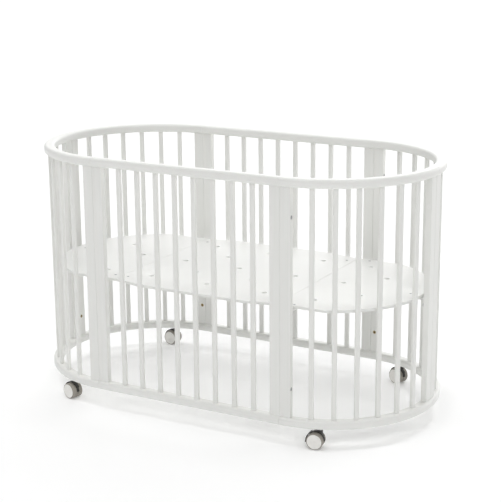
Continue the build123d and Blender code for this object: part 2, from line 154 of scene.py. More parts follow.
def grow(
    name: str,
    tree: bpy.types.NodeTree,
    values: dict[str, object],
    seed: bpy.types.Mesh | None = None,
) -> bpy.types.Object:
    """Evaluates a Geometry Nodes tree once and keeps the result as a plain mesh.

    Args:
        name: The piece's name.
        tree: The tree to evaluate.
        values: A value for each named input.
        seed: The mesh that the tree starts from, if it needs one.

    Returns:
        The finished object, at the origin and without the modifier.
    """
    piece = bpy.data.objects.new(name, seed or bpy.data.meshes.new(name))
    bpy.context.scene.collection.objects.link(piece)
    modifier = piece.modifiers.new("Shape", "NODES")
    modifier.node_group = tree
    identifiers = {
        item.name: item.identifier for item in tree.interface.items_tree if item.in_out == "INPUT"
    }
    for label, value in values.items():
        modifier[identifiers[label]] = value
    graph = bpy.context.evaluated_depsgraph_get()
    mesh = bpy.data.meshes.new_from_object(
        piece.evaluated_get(graph), preserve_all_data_layers=True, depsgraph=graph
    )
    piece.modifiers.remove(modifier)
    piece.data = mesh
    mesh.name = name
    return piece


def face_outward(mesh: bpy.types.Mesh) -> None:
    """Merges doubled points and turns every face of a closed mesh outward.

    Args:
        mesh: The mesh to put right.
    """
    work = bmesh.new()
    work.from_mesh(mesh)
    bmesh.ops.remove_doubles(work, verts=work.verts, dist=POINT_WELD)
    bmesh.ops.recalc_face_normals(work, faces=work.faces)
    work.to_mesh(mesh)
    work.free()


def shade(mesh: bpy.types.Mesh, sharp_angle: float = math.radians(35)) -> None:
    """Smooths the mesh's shading, except across edges sharper than the angle."""
    mesh.shade_smooth()
    mesh.set_sharp_from_angle(angle=sharp_angle)


def soften_edges(piece: bpy.types.Object, width: float, segments: int = 2) -> None:
    """Rounds a piece's sharp edges a little.

    Args:
        piece: The piece to finish.
        width: How far the rounding reaches from each edge.
        segments: Faces across the rounding.
    """
    bevel = piece.modifiers.new("Eased_edges", "BEVEL")
    bevel.width = width
    bevel.segments = segments
    bevel.limit_method = "ANGLE"
    bevel.angle_limit = WELL_ROUNDED
    bevel.harden_normals = True
    bevel.use_clamp_overlap = True


# ================================================================ finishes
class GrainRun(Enum):
    """Which way the wood runs under a lacquered piece."""

    UPRIGHT = "upright"
    ALONG_RAIL = "along_rail"


class FinishTree(NodeBuilder):
    """A material's node tree around one Principled shader.

    Args:
        name: The material's name.
    """

    def __init__(self, name: str) -> None:
        """Makes the material with an empty tree and its output.

        Args:
            name: The material's name.
        """
        self.material = bpy.data.materials.new(name)
        self.material.use_nodes = True
        super().__init__(self.material.node_tree)
        self.tree.nodes.clear()
        self.shader = self.add("ShaderNodeBsdfPrincipled")
        self.add("ShaderNodeOutputMaterial", {"Surface": self.shader.outputs["BSDF"]})

    def place(
        self, run: GrainRun | None = None, scale: Sequence[float] = (1.0, 1.0, 1.0)
    ) -> bpy.types.NodeSocket:
        """Coordinates for a pattern.

        Args:
            run: Along a rail the piece's own unrolled coordinates are read, otherwise the object's.
            scale: How much finer the pattern is along each axis.

        Returns:
            The vector socket to read.
        """
        if run is GrainRun.ALONG_RAIL:
            source = self.add("ShaderNodeAttribute", attribute_name=RUN_ATTRIBUTE).outputs["Vector"]
        else:
            source = self.add("ShaderNodeTexCoord").outputs["Object"]
        return self.add("ShaderNodeMapping", {"Vector": source, "Scale": scale}).outputs["Vector"]

    def noise(self, place: bpy.types.NodeSocket, scale: float, detail: float = 3.0) -> bpy.types.NodeSocket:
        """A noise pattern's height, from 0 to 1."""
        inputs = {"Vector": place, "Scale": scale, "Detail": detail}
        return self.add("ShaderNodeTexNoise", inputs).outputs["Fac"]

    def between(self, share: bpy.types.NodeSocket, low: float, high: float) -> bpy.types.NodeSocket:
        """The share from 0 to 1, mapped to the range from low to high."""
        inputs = {"Value": share, "To Min": low, "To Max": high}
        return self.add("ShaderNodeMapRange", inputs).outputs["Result"]

    def blend(self, share: bpy.types.NodeSocket, first: Colour, second: Colour) -> bpy.types.NodeSocket:
        """A colour between two colours.

        Args:
            share: From 0 to 1, how far along the blend is.
            first: The colour at the low end.
            second: The colour at the high end.

        Returns:
            The colour socket.
        """
        ramp = self.add("ShaderNodeValToRGB", {"Fac": share})
        ramp.color_ramp.elements[0].position = 0.3
        ramp.color_ramp.elements[0].color = first
        ramp.color_ramp.elements[1].position = 0.7
        ramp.color_ramp.elements[1].color = second
        return ramp.outputs["Color"]

    def relief(
        self, height: bpy.types.NodeSocket, depth: float, under: bpy.types.NodeSocket | None = None
    ) -> bpy.types.NodeSocket:
        """A bumped normal.

        Args:
            height: The pattern's height, from 0 to 1.
            depth: What a height of 1 means.
            under: The normal of a coarser relief that this one lies on.

        Returns:
            The normal socket.
        """
        inputs: dict[str | int, object] = {"Height": height, "Distance": depth}
        if under is not None:
            inputs["Normal"] = under
        return self.add("ShaderNodeBump", inputs).outputs["Normal"]

    def finish(self, **sockets: object) -> bpy.types.Material:
        """Sets or links the shader's inputs, whose spaces are written as underscores.

        Args:
            **sockets: A plain value or a socket for each input.

        Returns:
            The finished material.
        """
        for name, source in sockets.items():
            target = self.shader.inputs[name.replace("_", " ")]
            if isinstance(source, bpy.types.NodeSocket):
                self.tree.links.new(source, target)
            else:
                target.default_value = source
        return self.material


@dataclass(frozen=True)
class WhiteLacquer:
    """Satin white lacquer on solid wood, with the grain just telling through it."""

    colour: Colour = (0.860, 0.862, 0.838, 1.0)
    grain_colour: Colour = (0.832, 0.834, 0.806, 1.0)
    grain_per_metre: float = 95.0
    grain_stretch: float = 0.035
    pore_depth: float = 0.00007
    ripple_per_metre: float = 420.0
    ripple_depth: float = 0.00002

    def material(self, run: GrainRun) -> bpy.types.Material:
        """The lacquer for pieces whose wood runs the given way.

        Args:
            run: Which way the wood runs.

        Returns:
            The material.
        """
        tree = FinishTree(f"white_lacquer_{run.value}")
        stretched = tree.place(run, (1.0, 1.0, self.grain_stretch))
        even = tree.place(run)
        grain = tree.noise(stretched, self.grain_per_metre, 6.0)
        ripple = tree.noise(even, self.ripple_per_metre, 2.0)
        pores = tree.relief(grain, self.pore_depth)
        return tree.finish(
            Base_Color=tree.blend(grain, self.grain_colour, self.colour),
            Roughness=tree.between(tree.noise(even, 14.0), 0.30, 0.42),
            Normal=tree.relief(ripple, self.ripple_depth, pores),
            Specular_IOR_Level=0.5,
        )


@dataclass(frozen=True)
class LaminatedBoard:
    """White laminate with a fine pearled surface."""

    colour: Colour = (0.872, 0.874, 0.852, 1.0)
    cloud_colour: Colour = (0.850, 0.852, 0.832, 1.0)
    pearl_per_metre: float = 900.0
    pearl_depth: float = 0.00003

    def material(self) -> bpy.types.Material:
        """The laminate of the mattress base.

        Returns:
            The material.
        """
        tree = FinishTree("base_laminate")
        place = tree.place()
        pearl = tree.noise(place, self.pearl_per_metre, 2.0)
        return tree.finish(
            Base_Color=tree.blend(tree.noise(place, 5.0), self.cloud_colour, self.colour),
            Roughness=tree.between(tree.noise(place, 60.0), 0.36, 0.5),
            Normal=tree.relief(pearl, self.pearl_depth),
        )


@dataclass(frozen=True)
class PowderCoat:
    """White powder coat on steel, with its orange-peel surface."""

    colour: Colour = (0.80, 0.80, 0.785, 1.0)
    thin_colour: Colour = (0.765, 0.765, 0.75, 1.0)
    peel_per_metre: float = 650.0
    peel_depth: float = 0.00005

    def material(self) -> bpy.types.Material:
        """The coat of the brackets and seam plates.

        Returns:
            The material.
        """
        tree = FinishTree("white_powder_coat")
        place = tree.place()
        peel = tree.noise(place, self.peel_per_metre, 2.0)
        return tree.finish(
            Base_Color=tree.blend(tree.noise(place, 40.0), self.thin_colour, self.colour),
            Roughness=tree.between(peel, 0.4, 0.55),
            Normal=tree.relief(peel, self.peel_depth),
        )


@dataclass(frozen=True)
class PlatedMetal:
    """Plated metal with fine turning marks and a patchy dullness.

    Args:
        name: The material's name.
        bright: The clean plating's colour.
        dull: The tarnished plating's colour.
    """

    name: str
    bright: Colour
    dull: Colour
    mark_per_metre: float = 1800.0
    mark_depth: float = 0.00002

    def material(self) -> bpy.types.Material:
        """The plated finish.

        Returns:
            The material.
        """
        tree = FinishTree(self.name)
        place = tree.place()
        marks = tree.noise(tree.place(None, (1.0, 1.0, 0.2)), self.mark_per_metre, 3.0)
        patches = tree.noise(place, 260.0, 3.0)
        return tree.finish(
            Base_Color=tree.blend(patches, self.dull, self.bright),
            Metallic=1.0,
            Roughness=tree.between(patches, 0.45, 0.28),
            Normal=tree.relief(marks, self.mark_depth),
        )


@dataclass(frozen=True)
class MouldedPlastic:
    """Moulded plastic with a spark-eroded surface.

    Args:
        name: The material's name.
        colour: The plastic's own colour.
        scuffed: Its colour where it is rubbed.
        low_roughness: Of the polished patches.
        high_roughness: Of the dull patches.
    """

    name: str
    colour: Colour
    scuffed: Colour
    low_roughness: float
    high_roughness: float
    spark_per_metre: float = 2600.0
    spark_depth: float = 0.00003

    def material(self) -> bpy.types.Material:
        """The moulded finish.

        Returns:
            The material.
        """
        tree = FinishTree(self.name)
        place = tree.place()
        spark = tree.noise(place, self.spark_per_metre, 2.0)
        scuff = tree.noise(place, 160.0, 5.0)
        return tree.finish(
            Base_Color=tree.blend(scuff, self.colour, self.scuffed),
            Roughness=tree.between(scuff, self.low_roughness, self.high_roughness),
            Normal=tree.relief(spark, self.spark_depth),
        )


@dataclass(frozen=True)
class Finishes:
    """Every finish on the crib, made once."""

    rail_lacquer: bpy.types.Material
    upright_lacquer: bpy.types.Material
    laminate: bpy.types.Material
    powder_coat: bpy.types.Material
    zinc: bpy.types.Material
    brass: bpy.types.Material
    hood: bpy.types.Material
    pedal: bpy.types.Material
    wheel_disc: bpy.types.Material
    tyre: bpy.types.Material

    @classmethod
    def mixed(cls) -> "Finishes":
        """Makes all the materials."""
        lacquer = WhiteLacquer()
        return cls(
            rail_lacquer=lacquer.material(GrainRun.ALONG_RAIL),
            upright_lacquer=lacquer.material(GrainRun.UPRIGHT),
            laminate=LaminatedBoard().material(),
            powder_coat=PowderCoat().material(),
            zinc=PlatedMetal("zinc_plate", (0.56, 0.57, 0.58, 1.0), (0.38, 0.38, 0.39, 1.0)).material(),
            brass=PlatedMetal("dull_brass", (0.62, 0.48, 0.26, 1.0), (0.40, 0.31, 0.18, 1.0)).material(),
            hood=MouldedPlastic(
                "castor_hood_plastic", (0.022, 0.021, 0.018, 1.0), (0.034, 0.032, 0.028, 1.0), 0.36, 0.55
            ).material(),
            pedal=MouldedPlastic(
                "castor_pedal_plastic", (0.014, 0.013, 0.012, 1.0), (0.030, 0.028, 0.025, 1.0), 0.32, 0.5
            ).material(),
            wheel_disc=MouldedPlastic(
                "wheel_disc_plastic", (0.92, 0.905, 0.87, 1.0), (0.88, 0.865, 0.83, 1.0), 0.3, 0.45
            ).material(),
            tyre=MouldedPlastic(
                "tyre_rubber", (0.36, 0.335, 0.295, 1.0), (0.30, 0.28, 0.245, 1.0), 0.5, 0.7
            ).material(),
        )


# ================================================================ plan of the crib
@dataclass(frozen=True)
class CribPlan:
    """The oval's plan and heights, read from the frame's own nodes."""

    half_side: float
    centre_radius: float
    rail_width: float
    rail_height: float
    bottom_rail_z: float
    top_rail_z: float
    seam_gap: float

    @classmethod
    def from_frame(cls) -> "CribPlan":
        """Reads the sizes off the rails.

        Returns:
            The plan.
        """
        side_low, side_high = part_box("front_side_top_rail")
        end_low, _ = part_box("front_right_end_top_rail")
        bottom_low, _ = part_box("front_side_bottom_rail")
        return cls(
            half_side=(side_high.x + end_low.x) / 2,
            centre_radius=-(side_low.y + side_high.y) / 2,
            rail_width=side_high.y - side_low.y,
            rail_height=side_high.z - side_low.z,
            bottom_rail_z=bottom_low.z,
            top_rail_z=side_low.z,
            seam_gap=end_low.x - side_high.x,
        )


class Run(Enum):
    """The two kinds of path that rails and slats follow."""

    STRAIGHT = "straight"
    QUARTER = "quarter"


def path_nodes(tree: ShapeTree, run: Run) -> bpy.types.NodeSocket:
    """Adds the path of a rail or of a row of slats, with its named inputs.

    Args:
        tree: The tree under construction.
        run: Whether the path is a straight line or part of a circle.

    Returns:
        The curve's socket.
    """
    if run is Run.STRAIGHT:
        line = tree.add(
            "GeometryNodeCurvePrimitiveLine",
            {
                "Start": tree.named_input("Start", "NodeSocketVector"),
                "End": tree.named_input("End", "NodeSocketVector"),
            },
        )
        return line.outputs["Curve"]
    arc = tree.add(
        "GeometryNodeCurveArc",
        {
            "Resolution": tree.named_input("Steps", "NodeSocketInt"),
            "Radius": tree.named_input("Radius", "NodeSocketFloat"),
            "Start Angle": tree.named_input("Start Angle", "NodeSocketFloat"),
            "Sweep Angle": tree.named_input("Sweep Angle", "NodeSocketFloat"),
        },
    )
    moved = tree.add(
        "GeometryNodeTransform",
        {"Geometry": arc.outputs["Curve"], "Translation": tree.named_input("Centre", "NodeSocketVector")},
    )
    return moved.outputs["Geometry"]


def rounded_section_nodes(tree: ShapeTree, corner_steps: int) -> bpy.types.NodeSocket:
    """Adds a rounded rectangular section, with its named inputs.

    Args:
        tree: The tree under construction.
        corner_steps: Segments round each corner.

    Returns:
        The section curve's socket.
    """
    section = tree.add(
        "GeometryNodeCurvePrimitiveQuadrilateral",
        {
            "Width": tree.named_input("Section Width", "NodeSocketFloat"),
            "Height": tree.named_input("Section Height", "NodeSocketFloat"),
        },
    )
    rounded = tree.add(
        "GeometryNodeFilletCurve",
        {
            "Curve": section.outputs["Curve"],
            "Count": corner_steps,
            "Radius": tree.named_input("Corner Radius", "NodeSocketFloat"),
        },
        mode="POLY",
    )
    return rounded.outputs["Curve"]


def captured(
    tree: ShapeTree, geometry: bpy.types.NodeSocket, value: bpy.types.NodeSocket, kind: str
) -> tuple[bpy.types.NodeSocket, bpy.types.NodeSocket]:
    """Keeps a value with the geometry it was read on.

    Args:
        tree: The tree under construction.
        geometry: The geometry that carries the value.
        value: The value's socket.
        kind: The value's type, such as FLOAT or VECTOR.

    Returns:
        The geometry's and the kept value's sockets.
    """
    node = tree.add("GeometryNodeCaptureAttribute", {"Geometry": geometry})
    node.capture_items.new(kind, "Kept")
    tree.tree.links.new(value, node.inputs[1])
    return node.outputs["Geometry"], node.outputs[1]


def swept_bar_tree(name: str, run: Run, corner_steps: int) -> bpy.types.NodeTree:
    """A bar of rounded section that follows a path, with its unrolled coordinates kept on it.

    Args:
        name: The tree's name.
        run: The kind of path.
        corner_steps: Segments round each corner of the section.

    Returns:
        The finished tree.
    """
    tree = ShapeTree(name)
    length = tree.add("GeometryNodeSplineParameter").outputs["Length"]
    path, along = captured(tree, path_nodes(tree, run), length, "FLOAT")
    across = tree.add("GeometryNodeInputPosition").outputs["Position"]
    section, place = captured(tree, rounded_section_nodes(tree, corner_steps), across, "VECTOR")
    upright = tree.add("GeometryNodeSetCurveNormal", {"Curve": path}, mode="Z_UP")
    bar = tree.add(
        "GeometryNodeCurveToMesh",
        {"Curve": upright.outputs["Curve"], "Profile Curve": section, "Fill Caps": True},
    )
    parts = tree.add("ShaderNodeSeparateXYZ", {"Vector": place})
    unrolled = tree.add(
        "ShaderNodeCombineXYZ", {"X": parts.outputs["X"], "Y": parts.outputs["Y"], "Z": along}
    )
    kept = tree.add(
        "GeometryNodeStoreNamedAttribute",
        {"Geometry": bar.outputs["Mesh"], "Name": RUN_ATTRIBUTE},
        data_type="FLOAT_VECTOR",
    )
    tree.tree.links.new(unrolled.outputs["Vector"], kept.inputs["Value"])
    return tree.close(kept.outputs["Geometry"])


def slat_row_tree(name: str, run: Run, corner_steps: int) -> bpy.types.NodeTree:
    """A row of upright slats set evenly along a path, each turned to face out of it.

    Args:
        name: The tree's name.
        run: The kind of path.
        corner_steps: Segments round each corner of a slat.

    Returns:
        The finished tree.
    """
    tree = ShapeTree(name)
    places = tree.add(
        "GeometryNodeCurveToPoints",
        {"Curve": path_nodes(tree, run), "Count": tree.named_input("Slats", "NodeSocketInt")},
    )
    foot = tree.add("ShaderNodeCombineXYZ", {"Z": tree.named_input("Foot", "NodeSocketFloat")})
    head = tree.add("ShaderNodeCombineXYZ", {"Z": tree.named_input("Head", "NodeSocketFloat")})
    post = tree.add(
        "GeometryNodeCurvePrimitiveLine", {"Start": foot.outputs["Vector"], "End": head.outputs["Vector"]}
    )
    slat = tree.add(
        "GeometryNodeCurveToMesh",
        {
            "Curve": post.outputs["Curve"],
            "Profile Curve": rounded_section_nodes(tree, corner_steps),
            "Fill Caps": True,
        },
    )
    facing = tree.add(
        "FunctionNodeAlignRotationToVector",
        {"Vector": places.outputs["Tangent"]},
        axis="Y",
        pivot_axis="Z",
    )
    row = tree.add(
        "GeometryNodeInstanceOnPoints",
        {
            "Points": places.outputs["Points"],
            "Instance": slat.outputs["Mesh"],
            "Rotation": facing.outputs["Rotation"],
        },
    )
    return tree.close(row.outputs["Instances"])


def perforated_panel_tree(name: str, hole_steps: int) -> bpy.types.NodeTree:
    """A flat panel from a seed mesh: its closed edge loop is the outline, its loose points are holes.

    Args:
        name: The tree's name.
        hole_steps: Segments round each hole.

    Returns:
        The finished tree.
    """
    tree = ShapeTree(name)
    outline = tree.add("GeometryNodeMeshToCurve", {"Mesh": tree.seed})
    neighbours = tree.add("GeometryNodeInputMeshVertexNeighbors").outputs["Vertex Count"]
    loose = tree.add("ShaderNodeMath", {0: neighbours, 1: 0.5}, operation="LESS_THAN")
    spots = tree.add("GeometryNodeMeshToPoints", {"Mesh": tree.seed, "Selection": loose.outputs["Value"]})
    circle = tree.add("GeometryNodeCurvePrimitiveCircle", {"Resolution": hole_steps, "Radius": 1.0})
    radius = tree.add("GeometryNodeInputNamedAttribute", {"Name": HOLE_ATTRIBUTE}).outputs["Attribute"]
    holes = tree.add(
        "GeometryNodeInstanceOnPoints",
        {"Points": spots.outputs["Points"], "Instance": circle.outputs["Curve"], "Scale": radius},
    )
    rings = tree.add("GeometryNodeRealizeInstances", {"Geometry": holes.outputs["Instances"]})
    edges = tree.add("GeometryNodeJoinGeometry")
    for source in (outline.outputs["Curve"], rings.outputs["Geometry"]):
        tree.tree.links.new(source, edges.inputs["Geometry"])
    floor = tree.add("GeometryNodeFillCurve", {"Curve": edges.outputs["Geometry"]}, mode="TRIANGLES")
    level = tree.add("ShaderNodeCombineXYZ", {"Z": tree.named_input("Level", "NodeSocketFloat")})
    sheet = tree.add(
        "GeometryNodeTransform", {"Geometry": floor.outputs["Mesh"], "Translation": level.outputs["Vector"]}
    )
    lift = tree.add("ShaderNodeCombineXYZ", {"Z": tree.named_input("Thickness", "NodeSocketFloat")})
    raised = tree.add(
        "GeometryNodeExtrudeMesh",
        {"Mesh": sheet.outputs["Geometry"], "Offset": lift.outputs["Vector"], "Individual": False},
    )
    under = tree.add("GeometryNodeFlipFaces", {"Mesh": sheet.outputs["Geometry"]})
    panel = tree.add("GeometryNodeJoinGeometry")
    for source in (raised.outputs["Mesh"], under.outputs["Mesh"]):
        tree.tree.links.new(source, panel.inputs["Geometry"])
    closed = tree.add(
        "GeometryNodeMergeByDistance", {"Geometry": panel.outputs["Geometry"], "Distance": SEAM_WELD}
    )
    return tree.close(closed.outputs["Geometry"])


def round_cap_tree(name: str, steps: int) -> bpy.types.NodeTree:
    """Round caps that face the front side, one on each point of a seed mesh.

    Args:
        name: The tree's name.
        steps: Segments round each cap.

    Returns:
        The finished tree.
    """
    tree = ShapeTree(name)
    cap = tree.add(
        "GeometryNodeMeshCylinder",
        {
            "Vertices": steps,
            "Radius": tree.named_input("Radius", "NodeSocketFloat"),
            "Depth": tree.named_input("Thickness", "NodeSocketFloat"),
        },
    )
    spots = tree.add("GeometryNodeMeshToPoints", {"Mesh": tree.seed})
    row = tree.add(
        "GeometryNodeInstanceOnPoints",
        {
            "Points": spots.outputs["Points"],
            "Instance": cap.outputs["Mesh"],
            "Rotation": (math.pi / 2, 0.0, 0.0),
        },
    )
    return tree.close(row.outputs["Instances"])


# ================================================================ rails and slats
@dataclass(frozen=True)
class SectionTrees:
    """The Geometry Nodes trees that every section of the oval shares."""

    straight_rail: bpy.types.NodeTree
    quarter_rail: bpy.types.NodeTree
    straight_slats: bpy.types.NodeTree
    quarter_slats: bpy.types.NodeTree

    @classmethod
    def built(cls, rail_corner_steps: int = 8, slat_corner_steps: int = 4) -> "SectionTrees":
        """Builds the four trees."""
        return cls(
            straight_rail=swept_bar_tree("straight_rail", Run.STRAIGHT, rail_corner_steps),
            quarter_rail=swept_bar_tree("quarter_rail", Run.QUARTER, rail_corner_steps),
            straight_slats=slat_row_tree("straight_slats", Run.STRAIGHT, slat_corner_steps),
            quarter_slats=slat_row_tree("quarter_slats", Run.QUARTER, slat_corner_steps),
        )


@dataclass
class OvalSection:
    """What the straight sides and the quarter ends have in common.

    Args:
        name: The section's name, as its nodes carry it.
        plan: The crib's plan.
        trees: The shared trees.
        finishes: The crib's finishes.
    """

    name: str
    plan: CribPlan
    trees: SectionTrees
    finishes: Finishes
    rail_corner: float = 0.009
    seam_easing: float = 0.0006
    slat_width: float = 0.016
    slat_thickness: float = 0.012
    slat_corner: float = 0.003
    tenon_depth: float = 0.010

    def rail_levels(self) -> dict[str, float]:
        """The rails' centre heights by name."""
        middle = self.plan.rail_height / 2
        return {
            "bottom_rail": self.plan.bottom_rail_z + middle,
            "top_rail": self.plan.top_rail_z + middle,
        }

    def section_values(self) -> dict[str, object]:
        """The rail section's inputs."""
        return {
            "Finish": self.finishes.rail_lacquer,
            "Section Width": self.plan.rail_width,
            "Section Height": self.plan.rail_height,
            "Corner Radius": self.rail_corner,
        }

    def slat_values(self) -> dict[str, object]:
        """The slats' inputs, apart from their path."""
        return {
            "Finish": self.finishes.upright_lacquer,
            "Section Width": self.slat_thickness,
            "Section Height": self.slat_width,
            "Corner Radius": self.slat_corner,
            "Foot": self.plan.bottom_rail_z + self.plan.rail_height - self.tenon_depth,
            "Head": self.plan.top_rail_z + self.tenon_depth,
        }

    def settle(self, piece: bpy.types.Object, node: str, easing: float) -> bpy.types.Object:
        """Finishes a piece, and puts it on the crib in place of its node.

        Args:
            piece: The piece.
            node: The node it stands for.
            easing: The rounding of its end edges.

        Returns:
            The piece.
        """
        face_outward(piece.data)
        shade(piece.data)
        soften_edges(piece, easing)
        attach(piece, "root")
        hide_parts(node)
        LOG.info("%s: %d faces", piece.name, len(piece.data.polygons))
        return piece


@dataclass
class StraightSide(OvalSection):
    """One straight side: two rails and a row of slats, between its own boards.

    Args:
        outward: -1 on the front side, +1 on the back side.
    """

    outward: int = -1
    slats: int = 8

    def slat_span(self) -> float:
        """Half the distance between the first and the last slat."""
        low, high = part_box(f"{self.name}_slats")
        return (high.x - low.x - self.slat_width) / 2

    def build(self) -> list[bpy.types.Object]:
        """Builds the rails and the slats.

        Returns:
            The two rails, then the row of slats.
        """
        y = self.outward * self.plan.centre_radius
        reach = self.plan.half_side - self.plan.seam_gap / 2
        pieces = []
        for part, z in self.rail_levels().items():
            ends = {"Start": (-reach, y, z), "End": (reach, y, z)}
            values = self.section_values() | ends
            rail = grow(f"{self.name}_{part}_lacquered", self.trees.straight_rail, values)
            pieces.append(self.settle(rail, f"{self.name}_{part}", self.seam_easing))
        span = self.slat_span()
        row = {"Start": (-span, y, 0.0), "End": (span, y, 0.0), "Slats": self.slats}
        slats = grow(f"{self.name}_slat_row", self.trees.straight_slats, self.slat_values() | row)
        pieces.append(self.settle(slats, f"{self.name}_slats", self.seam_easing / 2))
        return pieces


@dataclass
class QuarterEnd(OvalSection):
    """One quarter-round end: two bent rails and a row of slats, between its own boards.

    Args:
        start_angle: Where its arc starts, turning left, round the end's centre.
        end_sign: +1 at the right end of the crib, -1 at the left end.
    """

    start_angle: float = 0.0
    end_sign: int = 1
    slats: int = 6
    rail_steps: int = 65
    board_width: float = 0.036

    def slat_angles(self) -> tuple[float, float]:
        """The angles of the first slat from the arc's start and between the first and the last.

        Returns:
            The two angles.
        """
        radius = self.plan.centre_radius
        clear = radius * math.pi / 2 - 2 * self.board_width - self.slats * self.slat_width
        gap = clear / (self.slats + 1)
        first = (self.board_width + gap + self.slat_width / 2) / radius
        return first, math.pi / 2 - 2 * first

    def build(self) -> list[bpy.types.Object]:
        """Builds the rails and the slats.

        Returns:
            The two rails, then the row of slats.
        """
        radius = self.plan.centre_radius
        margin = self.plan.seam_gap / 2 / radius
        pieces = []
        for part, z in self.rail_levels().items():
            arc = {
                "Centre": (self.end_sign * self.plan.half_side, 0.0, z),
                "Radius": radius,
                "Start Angle": self.start_angle + margin,
                "Sweep Angle": math.pi / 2 - 2 * margin,
                "Steps": self.rail_steps,
            }
            rail = grow(f"{self.name}_{part}_lacquered", self.trees.quarter_rail, self.section_values() | arc)
            pieces.append(self.settle(rail, f"{self.name}_{part}", self.seam_easing))
        first, sweep = self.slat_angles()
        row = {
            "Centre": (self.end_sign * self.plan.half_side, 0.0, 0.0),
            "Radius": radius,
            "Start Angle": self.start_angle + first,
            "Sweep Angle": sweep,
            "Steps": self.slats,
            "Slats": self.slats,
        }
        slats = grow(f"{self.name}_slat_row", self.trees.quarter_slats, self.slat_values() | row)
        pieces.append(self.settle(slats, f"{self.name}_slats", self.seam_easing / 2))
        return pieces


